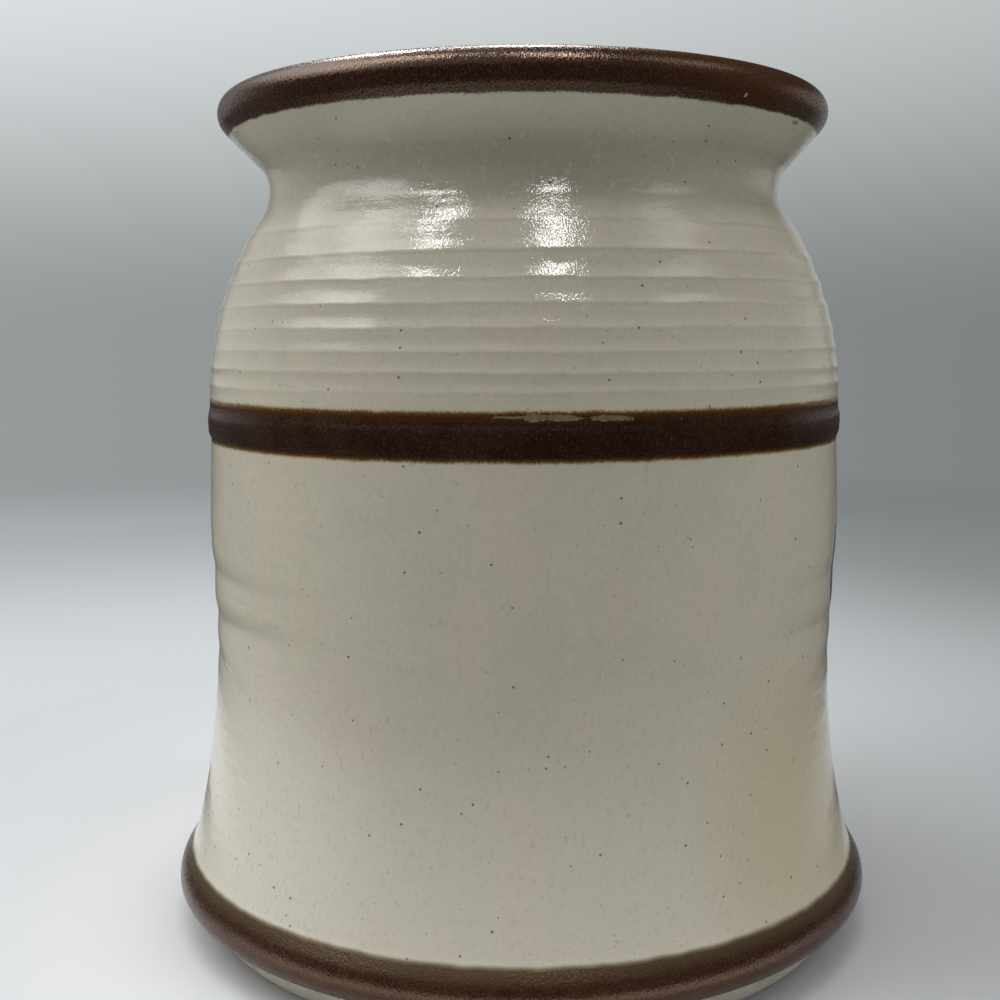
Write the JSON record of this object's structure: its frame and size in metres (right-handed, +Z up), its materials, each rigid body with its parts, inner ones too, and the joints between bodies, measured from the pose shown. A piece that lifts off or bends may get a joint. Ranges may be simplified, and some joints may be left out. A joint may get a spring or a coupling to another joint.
{
  "type": "utensil crock",
  "caption": "Thrown stoneware utensil crock with a rolled lip, ringed shoulder, raised brown band, flared belly, brown foot bead and blue brushed vine.",
  "frame": {"origin": "on the table, under the middle of the foot", "axes": "+Z up along the axis of the pot; -Y faces the viewer of the picture; +X to the viewer's right"},
  "size_m": [0.157, 0.157, 0.18],
  "materials": {
    "bare_stoneware": "unglazed fired buff clay, fine and dry",
    "cream_glaze": "glossy cream glaze with fine dark iron specks",
    "liner_glaze": "glossy cream liner glaze over throwing rings",
    "brown_glaze": "satin dark brown iron glaze with rust edges and fine sparkle",
    "blue_brushwork": "dusty dark blue brush strokes under gloss"
  },
  "bodies": {
    "root": {"clay_body": "bare_stoneware", "shoulder_glaze": "cream_glaze", "belly_glaze": "cream_glaze", "liner_glaze": "liner_glaze", "rim_glaze": "brown_glaze", "shoulder_band_glaze": "brown_glaze", "foot_bead_glaze": "brown_glaze", "blue_stem_strokes": "blue_brushwork", "blue_leaf_strokes": "blue_brushwork", "blue_berry_strokes": "blue_brushwork"}
  },
  "joints": []
}
